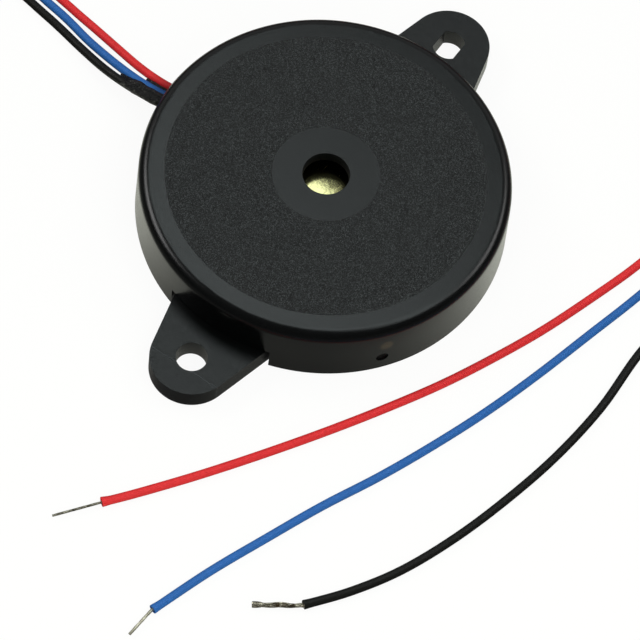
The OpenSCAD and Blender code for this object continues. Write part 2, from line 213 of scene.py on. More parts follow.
class Finishes(bpy.types.PropertyGroup):
    """Colours of the object"""

    plastic: FloatVectorProperty(
        name="Plastic", description="Black moulded plastic", subtype="COLOR", size=4,
        default=(0.0006, 0.0007, 0.0007, 1),
    )
    red: FloatVectorProperty(
        name="Red", description="Red insulation", subtype="COLOR", size=4, default=(0.72, 0.028, 0.031, 1)
    )
    blue: FloatVectorProperty(
        name="Blue", description="Blue insulation", subtype="COLOR", size=4, default=(0.024, 0.13, 0.41, 1)
    )
    black: FloatVectorProperty(
        name="Black", description="Black insulation", subtype="COLOR", size=4,
        default=(0.007, 0.007, 0.006, 1),
    )
    brass: FloatVectorProperty(
        name="Brass", description="The disc that the sound hole shows", subtype="COLOR", size=4,
        default=(0.8, 0.76, 0.38, 1),
    )
    tin: FloatVectorProperty(
        name="Tin", description="Tinned wire", subtype="COLOR", size=4, default=(0.78, 0.74, 0.58, 1)
    )


class StudioSizes(bpy.types.PropertyGroup):
    """The camera and the studio"""

    lens: FloatProperty(name="Lens", description="Focal length in millimetres", default=267.2)
    distance: FloatProperty(
        name="Distance", description="From the object to the camera", default=560.8 * MM, unit="LENGTH"
    )
    azimuth: FloatProperty(
        name="Azimuth", description="How far the camera is turned round the object", default=radians(-61.9),
        subtype="ANGLE",
    )
    elevation: FloatProperty(
        name="Elevation", description="Height of the camera above the horizon", default=radians(59.3703),
        subtype="ANGLE",
    )
    pitch: FloatProperty(
        name="Pitch", description="How far the camera looks below the origin", default=radians(1.32),
        subtype="ANGLE",
    )
    yaw: FloatProperty(
        name="Yaw", description="How far the camera looks aside from the origin", default=radians(-0.1612),
        subtype="ANGLE",
    )
    roll: FloatProperty(
        name="Roll", description="How far the camera leans", default=radians(7.6725), subtype="ANGLE"
    )
    world: FloatProperty(name="World", description="Strength of the plain world light", default=0.05)


def deselect():
    """Selects nothing in object mode."""
    bpy.ops.object.select_all(action="DESELECT")


def only(piece):
    """Makes one piece the selected and active one."""
    deselect()
    piece.select_set(True)
    bpy.context.view_layer.objects.active = piece


def settle(name):
    """Names the active primitive and puts its place and size into its mesh."""
    piece = bpy.context.object
    piece.name = name
    piece.data.name = name
    only(piece)
    bpy.ops.object.transform_apply(location=True, rotation=True, scale=True)
    return piece


def edit(piece, mode="FACE"):
    """Opens a piece in edit mode with all of it selected."""
    only(piece)
    bpy.ops.object.mode_set(mode="EDIT")
    bpy.ops.mesh.select_mode(type=mode)
    bpy.ops.mesh.select_all(action="SELECT")


def edit_faces(piece, chosen):
    """Opens a piece in edit mode with the faces selected that a test chooses."""
    edit(piece)
    bpy.ops.mesh.select_all(action="DESELECT")
    close()
    for face in piece.data.polygons:
        face.select = chosen(face)
    bpy.ops.object.mode_set(mode="EDIT")


def close():
    """Leaves edit mode."""
    bpy.ops.object.mode_set(mode="OBJECT")


def finish_modifier(piece, modifier):
    """Applies a piece's modifier."""
    only(piece)
    bpy.ops.object.modifier_apply(modifier=modifier.name)


def block(name, low, high):
    """A box between two corners."""
    middle = [(a + b) / 2 for a, b in zip(low, high)]
    span = [b - a for a, b in zip(low, high)]
    bpy.ops.mesh.primitive_cube_add(size=1, location=middle, scale=span)
    return settle(name)


def rod(name, radius, place, low, high, sides):
    """An upright rod, to add or to cut with."""
    bpy.ops.mesh.primitive_cylinder_add(
        vertices=sides, radius=radius, depth=high - low, location=(place[0], place[1], (low + high) / 2)
    )
    return settle(name)


def turned(name, profile, sides=192):
    """A ring turned from a closed profile of (radius, height): a circle extruded from point to point."""
    radius, height = profile[0]
    bpy.ops.mesh.primitive_circle_add(vertices=sides, radius=radius, location=(0, 0, height))
    piece = settle(name)
    edit(piece, "VERT")
    for next_radius, next_height in profile[1:] + profile[:1]:
        bpy.ops.mesh.extrude_region_move(TRANSFORM_OT_translate={"value": (0, 0, next_height - height)})
        grow = next_radius / radius
        bpy.ops.transform.resize(value=(grow, grow, 1), center_override=(0, 0, 0))
        radius, height = next_radius, next_height
    bpy.ops.mesh.select_all(action="SELECT")
    bpy.ops.mesh.remove_doubles(threshold=0.002 * MM)
    bpy.ops.mesh.normals_make_consistent(inside=False)
    close()
    return piece


def combine(piece, tool, operation):
    """Cuts a tool from a piece, or fuses it on."""
    modifier = piece.modifiers.new("combine", "BOOLEAN")
    modifier.operation = operation
    modifier.solver = "EXACT"
    modifier.object = tool
    finish_modifier(piece, modifier)
    bpy.data.objects.remove(tool)


def tidy_faces(piece):
    """Merges doubles and dissolves the edges between faces in one plane."""
    edit(piece)
    bpy.ops.mesh.remove_doubles(threshold=0.001 * MM)
    bpy.ops.mesh.dissolve_limited(angle_limit=radians(0.5))
    close()


def round_edges(piece, width, segments):
    """Rounds a piece's sharp edges."""
    modifier = piece.modifiers.new("round", "BEVEL")
    modifier.width = width
    modifier.segments = segments
    modifier.limit_method = "ANGLE"
    modifier.angle_limit = radians(40)
    modifier.miter_outer = "MITER_ARC"
    finish_modifier(piece, modifier)


def smooth_shade(piece, angle):
    """Shades a piece smoothly, apart from edges sharper than an angle in degrees."""
    only(piece)
    bpy.ops.object.shade_smooth_by_angle(angle=radians(angle))


def flatten_shade(piece):
    """Shades a moulded piece smoothly, with its flat faces kept flat up to their rounded edges."""
    smooth_shade(piece, 30)
    modifier = piece.modifiers.new("flatten", "WEIGHTED_NORMAL")
    modifier.keep_sharp = True
    finish_modifier(piece, modifier)


def dress(piece, material, node):
    """Gives a finished piece its material and body, and hides the node that it stands for."""
    piece.data.materials.clear()
    piece.data.materials.append(bpy.data.materials[material])
    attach(piece, BODY)
    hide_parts(node)


def spline(points, steps):
    """A smooth line through points, with so many steps between neighbours."""
    points = [Vector(p) for p in points]
    points = [2 * points[0] - points[1]] + points + [2 * points[-1] - points[-2]]
    line = []
    for a, b, c, d in zip(points, points[1:], points[2:], points[3:]):
        for step in range(steps):
            t = step / steps
            square = (2 * a - 5 * b + 4 * c - d) * t * t
            cube = (3 * b - a - 3 * c + d) * t**3
            line.append((2 * b + (c - a) * t + square + cube) / 2)
    return line + [points[-2]]


def lead_line(route, radius):
    """The centreline of a lead in metres, nowhere lower than when it lies on the floor."""
    line = spline([(x * MM, y * MM, z * MM + radius) for x, y, z in route], ROUTE_STEPS)
    for point in line:
        point.z = max(point.z, radius)
    return line


def tube(name, line, radii, resolution):
    """A round tube along a line, with closed ends and a radius for each point."""
    curve = bpy.data.curves.new(name, "CURVE")
    curve.dimensions = "3D"
    curve.bevel_depth = 1
    curve.bevel_resolution = resolution
    curve.use_fill_caps = True
    path = curve.splines.new("POLY")
    path.points.add(len(line) - 1)
    for point, place, radius in zip(path.points, line, radii):
        point.co = (*place, 1)
        point.radius = radius
    piece = bpy.data.objects.new(name, curve)
    bpy.context.collection.objects.link(piece)
    only(piece)
    bpy.ops.object.convert(target="MESH")
    piece = bpy.context.object
    edit(piece)
    bpy.ops.mesh.remove_doubles(threshold=0.0005 * MM)
    bpy.ops.mesh.normals_make_consistent(inside=False)
    close()
    return piece


def melt(piece, voxel, rounds):
    """Melts overlapping shapes into one skin as fine as a voxel, and smooths it."""
    modifier = piece.modifiers.new("melt", "REMESH")
    modifier.mode = "VOXEL"
    modifier.voxel_size = voxel
    finish_modifier(piece, modifier)
    modifier = piece.modifiers.new("flow", "SMOOTH")
    modifier.iterations = rounds
    finish_modifier(piece, modifier)


def between(values, share):
    """The value at a share of the way along a list of values at even steps."""
    place = min(max(share, 0), 1) * (len(values) - 1)
    low = min(int(place), len(values) - 2)
    return values[low] + (values[low + 1] - values[low]) * (place - low)


def join(name, pieces):
    """Joins several pieces into one."""
    deselect()
    for piece in pieces:
        piece.select_set(True)
    bpy.context.view_layer.objects.active = pieces[0]
    bpy.ops.object.join()
    piece = bpy.context.object
    piece.name = name
    piece.data.name = name
    return piece


class Nodes:
    """A material's or a group's node tree, with short ways to add and link nodes."""

    def __init__(self, tree):
        self.tree = tree

    def add(self, kind, inputs=None, **settings):
        """Adds a node; inputs maps a socket's name or number to a value or another node's output."""
        node = self.tree.nodes.new(kind)
        for name, value in settings.items():
            setattr(node, name, value)
        for name, value in (inputs or {}).items():
            if isinstance(value, bpy.types.NodeSocket):
                self.tree.links.new(value, node.inputs[name])
            else:
                node.inputs[name].default_value = value
        return node

    def link(self, output, node, socket):
        """Links an output to a node's socket."""
        self.tree.links.new(output, node.inputs[socket])

    def math(self, operation, a, b=0.0):
        """Works out a value from one or two others."""
        return self.add("ShaderNodeMath", {0: a, 1: b}, operation=operation).outputs[0]

    def times(self, value, *others):
        """Multiplies values."""
        for other in others:
            value = self.math("MULTIPLY", value, other)
        return value

    def plus(self, value, *others):
        """Adds values."""
        for other in others:
            value = self.math("ADD", value, other)
        return value

    def distance(self, place, centre):
        """How far a surface point lies from a centre."""
        inputs = {0: place, 1: centre}
        return self.add("ShaderNodeVectorMath", inputs, operation="DISTANCE").outputs["Value"]

    def ramp(self, value, low, high, to_low=0.0, to_high=1.0):
        """Maps a value from one range to another, and stops at its ends."""
        inputs = {"Value": value, "From Min": low, "From Max": high, "To Min": to_low, "To Max": to_high}
        return self.add("ShaderNodeMapRange", inputs).outputs[0]

    def mix(self, share, a, b):
        """Mixes two colours."""
        return self.add("ShaderNodeMix", {0: share, 6: a, 7: b}, data_type="RGBA").outputs[2]


def new_group(name, scale, outputs):
    """A shader node group with a place and a scale, and values to give out; returns its nodes and input."""
    tree = bpy.data.node_groups.new(name, "ShaderNodeTree")
    tree.interface.new_socket("Vector", in_out="INPUT", socket_type="NodeSocketVector")
    size = tree.interface.new_socket("Scale", in_out="INPUT", socket_type="NodeSocketFloat")
    size.default_value = scale
    for socket in outputs:
        tree.interface.new_socket(socket, in_out="OUTPUT", socket_type="NodeSocketFloat")
    nodes = Nodes(tree)
    return nodes, nodes.add("NodeGroupInput").outputs


def grain_group():
    """Fine moulded grain: a height for a bump, and a speckle that follows it."""
    nodes, given = new_group("moulded grain", 4000.0, ("Height", "Speckle"))
    vector, scale = given["Vector"], given["Scale"]
    inputs = {"Vector": vector, "Scale": scale, "Detail": 3, "Roughness": 0.6}
    fine = nodes.add("ShaderNodeTexNoise", inputs).outputs[0]
    cells = nodes.add("ShaderNodeTexVoronoi", {"Vector": vector, "Scale": scale}).outputs["Distance"]
    height = nodes.math("SUBTRACT", nodes.plus(fine, nodes.times(cells, 0.5)), 0.7)
    nodes.add("NodeGroupOutput", {"Height": height, "Speckle": nodes.ramp(fine, 0.35, 0.65)})


def handling_group():
    """Faint marks of handling: a cloudy mask, and short scratches."""
    nodes, given = new_group("handling marks", 300.0, ("Cloud", "Scratches"))
    vector, scale = given["Vector"], given["Scale"]
    inputs = {"Vector": vector, "Scale": scale, "Detail": 5, "Roughness": 0.7}
    cloud = nodes.add("ShaderNodeTexNoise", inputs).outputs[0]
    inputs = {"Vector": vector, "Scale": (1, 14, 1), "Rotation": (0, 0, 0.6)}
    stretched = nodes.add("ShaderNodeMapping", inputs).outputs[0]
    inputs = {"Vector": stretched, "Scale": scale, "Detail": 2, "Distortion": 0.6}
    lines = nodes.add("ShaderNodeTexNoise", inputs).outputs[0]
    cloud, scratches = nodes.ramp(cloud, 0.3, 0.7), nodes.ramp(lines, 0.62, 0.7)
    nodes.add("NodeGroupOutput", {"Cloud": cloud, "Scratches": scratches})


def group(nodes, name, **inputs):
    """Places a shared group in a material."""
    return nodes.add("ShaderNodeGroup", inputs, node_tree=bpy.data.node_groups[name]).outputs


def new_material(name):
    """A material with a Principled BSDF; returns its nodes, the shader and Object coordinates."""
    material = bpy.data.materials.new(name)
    material.use_nodes = True
    nodes = Nodes(material.node_tree)
    place = nodes.add("ShaderNodeTexCoord").outputs["Object"]
    return nodes, nodes.tree.nodes["Principled BSDF"], place


def shade(color, share):
    """A colour made darker or lighter by a share."""
    return [c * share for c in color[:3]] + [1]


def finish(nodes, shader, tone, rough, height, distance):
    """Gives a shader its colour and roughness, and bumps it by a height."""
    nodes.link(tone, shader, "Base Color")
    nodes.link(rough, shader, "Roughness")
    node = nodes.add("ShaderNodeBump", {"Height": height, "Distance": distance})
    nodes.link(node.outputs[0], shader, "Normal")


def plastic_material(name, color):
    """Black moulded plastic, satin and a little uneven; returns its nodes for what only one piece has."""
    nodes, shader, place = new_material(name)
    marks = group(nodes, "handling marks", Vector=place, Scale=220.0)
    grain = group(nodes, "moulded grain", Vector=place, Scale=9580.0)
    tone = nodes.mix(marks["Cloud"], tuple(color), shade(color, 1.8))
    tone = nodes.mix(grain["Speckle"], tone, (0.0015, 0.002, 0.002, 1))
    rough = nodes.ramp(marks["Cloud"], 0, 1, 0.13, 0.17)
    return nodes, shader, place, grain, tone, rough


def case_material(name, color, sizes):
    """The case's plastic: a matte grained disc with painted glints, softer ring, rim and bore, and the gate
    mark's blush.
    """
    nodes, shader, place, grain, tone, rough = plastic_material(name, color)
    axes = nodes.add("ShaderNodeSeparateXYZ", {0: place}).outputs
    flat = nodes.add("ShaderNodeCombineXYZ", {0: axes[0], 1: axes[1]}).outputs[0]
    radius = nodes.distance(flat, (0, 0, 0))
    on_top = nodes.ramp(axes[2], CASE_TOP - 0.3 * MM, CASE_TOP - 0.05 * MM)
    blur = 0.04 * MM
    outside_ring = nodes.ramp(radius, SMOOTH_RING_R - blur, SMOOTH_RING_R + blur)
    inside_disc = nodes.ramp(radius, MATTE_DISC_R - blur, MATTE_DISC_R + blur, 1, 0)
    matte = nodes.times(outside_ring, inside_disc, on_top)
    # the grain's specks in the matte disc, made bright in its colour as painted glints of the grain
    painted_grain_glints = nodes.times(nodes.math("POWER", grain["Speckle"], 3.0), matte)
    tone = nodes.mix(painted_grain_glints, tone, (0.074, 0.085, 0.084, 1))
    ring = nodes.times(nodes.ramp(radius, SMOOTH_RING_R, SMOOTH_RING_R + 0.1 * MM, 1, 0), on_top)
    bore = nodes.ramp(radius, sizes.sound_r + 0.02 * MM, sizes.sound_r + 0.1 * MM, 1, 0)
    high = nodes.ramp(axes[2], CASE_TOP - 1.9 * MM, CASE_TOP - 1.3 * MM)
    rim = nodes.times(nodes.ramp(radius, RIM_R, RIM_R + 0.5 * MM), high)
    turn, up = sizes.gate_angle, sizes.gate_z
    out = sizes.case_r - 0.1 * MM
    aside = turn + 0.015
    blush = nodes.distance(place, (out * cos(aside), out * sin(aside), up + 2.5 * MM))
    tone = nodes.mix(nodes.ramp(blush, 0.5 * MM, 1.0 * MM, 0.9, 0), tone, (0.04, 0.028, 0.014, 1))
    out = sizes.case_r - 0.6 * MM
    torn = nodes.distance(place, (out * cos(turn), out * sin(turn), up))
    torn = nodes.ramp(torn, 0.86 * MM, 0.9 * MM, 1, 0)
    for mask, more in ((matte, 0.29), (ring, 0.08), (bore, 0.7), (rim, 0.1), (torn, 0.4)):
        rough = nodes.plus(rough, nodes.times(mask, more))
    strength = nodes.math("MAXIMUM", nodes.times(matte, 1.3), nodes.ramp(torn, 0, 1, 0.08, 2.0))
    finish(nodes, shader, tone, rough, nodes.times(grain["Height"], strength), 0.1 * MM)


def base_material(name, color, sizes):
    """The base plate's plastic, with a faint knit line across the ear with the round hole."""
    nodes, shader, place, grain, tone, rough = plastic_material(name, color)
    axes = nodes.add("ShaderNodeSeparateXYZ", {0: place}).outputs
    noise_at = nodes.add("ShaderNodeTexNoise", {"Vector": place, "Scale": 500.0, "Detail": 2}).outputs[0]
    wander = nodes.ramp(noise_at, 0.3, 0.7, -0.1 * MM, 0.1 * MM)
    off = nodes.plus(axes[0], sizes.case_r + sizes.ear_reach + 1.55 * MM)
    off = nodes.math("ABSOLUTE", nodes.math("SUBTRACT", off, wander))
    knit = nodes.times(nodes.ramp(off, 0.03 * MM, 0.12 * MM, 1, 0), nodes.ramp(noise_at, 0.3, 0.5, 0.6, 1))
    tone = nodes.mix(nodes.times(knit, 0.4), tone, (0.045, 0.05, 0.052, 1))
    height = nodes.plus(nodes.times(grain["Height"], 0.2), nodes.times(knit, 0.08))
    finish(nodes, shader, tone, rough, height, 0.1 * MM)


def insulation_material(name, color):
    """Satin insulation, faintly uneven, with painted shade darkening it near where the leads leave the case.
    """
    nodes, shader, place = new_material(name)
    shader.inputs["IOR"].default_value = 1.4
    shader.inputs["Specular IOR Level"].default_value = 0.3
    marks = group(nodes, "handling marks", Vector=place, Scale=900.0)
    grain = group(nodes, "moulded grain", Vector=place, Scale=5000.0)
    tone = nodes.mix(nodes.ramp(marks["Cloud"], 0, 1, 0, 0.6), tuple(color), shade(color, 0.8))
    # painted shade: the insulation is darkened near where the leads leave the case, fading out 4 mm away
    painted_shade_at_exit = nodes.ramp(nodes.distance(place, (0, 22 * MM, 3.4 * MM)), 1.5 * MM, 4 * MM, 0.8, 0)
    tone = nodes.mix(painted_shade_at_exit, tone, shade(color, 0.4))
    rough = nodes.ramp(marks["Cloud"], 0, 1, 0.38, 0.55)
    height = nodes.plus(marks["Cloud"], nodes.times(grain["Height"], 0.3))
    finish(nodes, shader, tone, rough, height, 0.03 * MM)


def metal_material(name, color, dull_color, rough, scratch_scale, ripple, metallic=1.0, bow=0):
    """Bare metal: clouded, scratched, rippled by a height in metres, and bowed by so much per mm squared."""
    nodes, shader, place = new_material(name)
    shader.inputs["Metallic"].default_value = metallic
    marks = group(nodes, "handling marks", Vector=place, Scale=scratch_scale)
    tone = nodes.mix(nodes.ramp(marks["Cloud"], 0.2, 0.8), tuple(color), dull_color)
    height = nodes.plus(marks["Cloud"], nodes.times(marks["Scratches"], 0.3))
    height = nodes.times(height, ripple / MM)
    if bow:
        centre = (-0.2 * MM, -0.45 * MM, BRASS_TOP)
        reach = nodes.times(nodes.distance(place, centre), 1 / MM)
        height = nodes.math("SUBTRACT", height, nodes.times(reach, reach, bow))
    rough = nodes.ramp(marks["Scratches"], 0, 1, rough, rough + 0.15)
    finish(nodes, shader, tone, rough, height, MM)


def plain_material(name, color, rough, grain_scale=2500.0):
    """A fired, cast or smeared surface: even colour with a fine grain."""
    nodes, shader, place = new_material(name)
    grain = group(nodes, "moulded grain", Vector=place, Scale=grain_scale)
    tone = nodes.mix(grain["Speckle"], color, shade(color, 0.85))
    rough = nodes.ramp(grain["Speckle"], 0, 1, rough, rough + 0.1)
    finish(nodes, shader, tone, rough, grain["Height"], 0.01 * MM)


def sealant_material(name):
    """Black sealant: lumpy, half glossy, rougher in patches, with painted highlights as grey spots in its
    colour where it is roughest.
    """
    nodes, shader, place = new_material(name)
    shader.inputs["IOR"].default_value = 1.45
    marks = group(nodes, "handling marks", Vector=place, Scale=2200.0)
    # painted highlights: grey spots in the sealant's colour stand in for its glints
    painted_highlights = nodes.ramp(marks["Cloud"], 0.66, 0.95, 0, 1)
    tone = nodes.mix(painted_highlights, (0.002, 0.002, 0.002, 1), (0.09, 0.09, 0.08, 1))
    rough = nodes.ramp(marks["Cloud"], 0, 1, 0.2, 0.5)
    finish(nodes, shader, tone, rough, marks["Cloud"], 0.12 * MM)


def floor_material(name, camera_turn, hole_x):
    """White to the camera; mirrored, it carries painted light and shade, darkening outward and towards the
    camera, less in the ears' holes.
    """
    nodes, shader, place = new_material(name)
    shader.inputs["Roughness"].default_value = 0.9
    shader.inputs["Specular IOR Level"].default_value = 0.1
    rays = nodes.add("ShaderNodeLightPath").outputs
    mirrored = nodes.math("MAXIMUM", rays["Is Glossy Ray"], rays["Is Transmission Ray"])
    share = nodes.math("MAXIMUM", nodes.times(rays["Is Camera Ray"], 0.92), nodes.times(mirrored, 0.06))
    way = nodes.add("ShaderNodeVectorMath", {0: place}, operation="NORMALIZE").outputs[0]
    front = Matrix.Rotation(camera_turn, 3, "Z") @ Vector((0, -1, 0))
    facing = nodes.add("ShaderNodeVectorMath", {0: way, 1: front}, operation="DOT_PRODUCT")
    facing = facing.outputs["Value"]
    behind = nodes.ramp(facing, 0.2, -0.4, 0, 6 * MM)
    out = nodes.math("SUBTRACT", nodes.distance(place, (0, 0, 0)), behind)
    near = nodes.ramp(out, 24.5 * MM, 32 * MM, 1, 0)
    # painted light and shade for mirrored rays: lit near the case at its sides and back, shaded towards the
    # camera and farther out
    painted_floor_light = nodes.times(nodes.ramp(facing, 1.0, 0.3, 0.12, 1.0), near)
    axes = nodes.add("ShaderNodeSeparateXYZ", {0: place}).outputs
    across = nodes.math("ABSOLUTE", axes[0])
    beside = nodes.add("ShaderNodeCombineXYZ", {0: across, 1: axes[1]}).outputs[0]
    # painted light in the ears' holes: the mirrored floor is shaded less there
    hole = nodes.ramp(nodes.distance(beside, (hole_x, 0, 0)), 1.9 * MM, 2.2 * MM, 0.55, 1)
    dim = nodes.times(nodes.math("SUBTRACT", 1.0, painted_floor_light), hole, mirrored)
    nodes.link(nodes.mix(dim, (0.93, 0.94, 0.82, 1), (0.04, 0.04, 0.035, 1)), shader, "Base Color")
    glow = nodes.add("ShaderNodeEmission", {"Color": (1, 1, 1, 1), "Strength": 1.0}).outputs[0]
    mixed = nodes.add("ShaderNodeMixShader", {0: share, 1: shader.outputs[0], 2: glow}).outputs[0]
    nodes.link(mixed, nodes.tree.nodes["Material Output"], 0)


class BUZZER_OT_studio(bpy.types.Operator):
    """Adds the camera, the lamps and the pale floor"""

    bl_idname = "buzzer.studio"
    bl_label = "Studio"

    def execute(self, context):
        sizes = context.scene.buzzer_studio
        self.camera(context, sizes)
        self.lamps()
        self.floor(context, sizes)
        self.world(context, sizes)
        context.scene.view_settings.view_transform = "Standard"
        return {"FINISHED"}

    def camera(self, context, sizes):
        """The camera stands where the fitted one stood, at the end of a turned and tilted arm."""
        arm = (0, -sizes.distance * cos(sizes.elevation), sizes.distance * sin(sizes.elevation))
        bpy.ops.object.camera_add()
        camera = context.object
        camera.name = "camera"
        camera.data.lens = sizes.lens
        camera.data.sensor_width = 36
        camera.data.clip_start = 0.01
        camera.matrix_world = (
            Matrix.Rotation(sizes.azimuth, 4, "Z")
            @ Matrix.Translation(arm)
            @ Matrix.Rotation(pi / 2 - sizes.elevation - sizes.pitch, 4, "X")
            @ Matrix.Rotation(sizes.yaw, 4, "Y")
            @ Matrix.Rotation(sizes.roll, 4, "Z")
        )
        context.scene.camera = camera

    def lamps(self):
        """Soft boxes high and low behind the object and at both sides, and two fills that aren't mirrored."""
        for name, azimuth, elevation, width, height, watts in (
            ("back_box", -14, 74.6, 1.0, 0.28, 1.65),
            ("left_box", 100, 42, 0.5, 0.3, 2.0),
            ("right_box", -38, 43, 0.5, 0.3, 1.3),
            ("low_box", 28, 30, 2.2, 0.6, 1.3),
            ("back_fill", 28, 45, 0.6, 0.6, 0.7),
            ("front_fill", 216, 50, 0.4, 0.4, 0.88),
        ):
            turn, rise = radians(azimuth), radians(elevation)
            away = 0.3 if name == "front_fill" else 0.9
            place = Vector((cos(turn) * cos(rise), sin(turn) * cos(rise), sin(rise))) * away
            bpy.ops.object.light_add(type="AREA", location=place)
            lamp = bpy.context.object
            lamp.name = name
            lamp.data.shape = "RECTANGLE"
            lamp.data.size = width
            lamp.data.size_y = height
            lamp.data.energy = watts
            lamp.visible_glossy = name.endswith("box")
            if name == "back_box":
                lamp.data.color = (0.9, 1.0, 1.0)
            lamp.rotation_euler = place.to_track_quat("Z", "Y").to_euler()

    def floor(self, context, sizes):
        """A wide white floor with a faint shadow, a hair below what stands on it."""
        bpy.ops.mesh.primitive_plane_add(size=6, location=(0, 0, -0.02 * MM))
        floor = settle("floor")
        case = context.scene.buzzer_case
        floor_material("pale floor", sizes.azimuth, case.case_r + case.ear_reach)
        floor.data.materials.append(bpy.data.materials["pale floor"])

    def world(self, context, sizes):
        """A plain world, white where the camera sees it."""
        world = bpy.data.worlds.new("studio")
        world.use_nodes = True
        context.scene.world = world
        nodes = Nodes(world.node_tree)
        rays = nodes.add("ShaderNodeLightPath").outputs
        strength = nodes.ramp(rays["Is Camera Ray"], 0, 1, sizes.world, 1.0)
        background = world.node_tree.nodes["Background"]
        background.inputs[0].default_value = (1, 1, 1, 1)
        nodes.link(strength, background, 1)


class BUZZER_OT_finishes(bpy.types.Operator):
    """Makes the materials and gives the inner pieces theirs"""

    bl_idname = "buzzer.finishes"
    bl_label = "Finishes"

    def execute(self, context):
        colors = context.scene.buzzer_finishes
        grain_group()
        handling_group()
        sizes = context.scene.buzzer_case
        case_material("case plastic", colors.plastic, sizes)
        base_material("base plastic", colors.plastic, sizes)
        for color in ("red", "blue", "black"):
            insulation_material(f"{color} insulation", getattr(colors, color))
        metal_material("brass", colors.brass, (0.66, 0.61, 0.29, 1), 0.13, 600.0, 0.006 * MM, bow=0.013)
        dim = shade(colors.tin, 0.6)
        metal_material("tinned wire", colors.tin, (0.4, 0.38, 0.28, 1), 0.25, 900.0, 0.02 * MM, 0.7)
        metal_material("red wire", dim, (0.05, 0.045, 0.02, 1), 0.2, 1300.0, 0.03 * MM, 0.7)
        metal_material("black wire", colors.tin, (0.06, 0.035, 0.012, 1), 0.16, 1500.0, 0.04 * MM, 0.85)
        metal_material("solder", (0.7, 0.7, 0.7, 1), (0.5, 0.5, 0.5, 1), 0.2, 1500.0, 0.02 * MM)
        plain_material("fired silver", (0.6, 0.6, 0.58, 1), 0.5)
        plain_material("ceramic", (0.78, 0.75, 0.64, 1), 0.7)
        plain_material("white adhesive", (0.8, 0.8, 0.77, 1), 0.4, 800.0)
        sealant_material("black sealant")
        for material, names in (
            ("brass", ("brass_diaphragm",)),
            ("ceramic", ("piezo_ceramic",)),
            ("fired silver", ("main_electrode", "feedback_electrode")),
            ("white adhesive", ("diaphragm_adhesive",)),
            ("tinned wire", ("red_inner_end", "blue_inner_end", "black_inner_end")),
            ("solder", ("red_solder_joint", "blue_solder_joint", "black_solder_joint")),
        ):
            for name in names:
                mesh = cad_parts[name].data
                mesh.materials.clear()
                mesh.materials.append(bpy.data.materials[material])
        return {"FINISHED"}


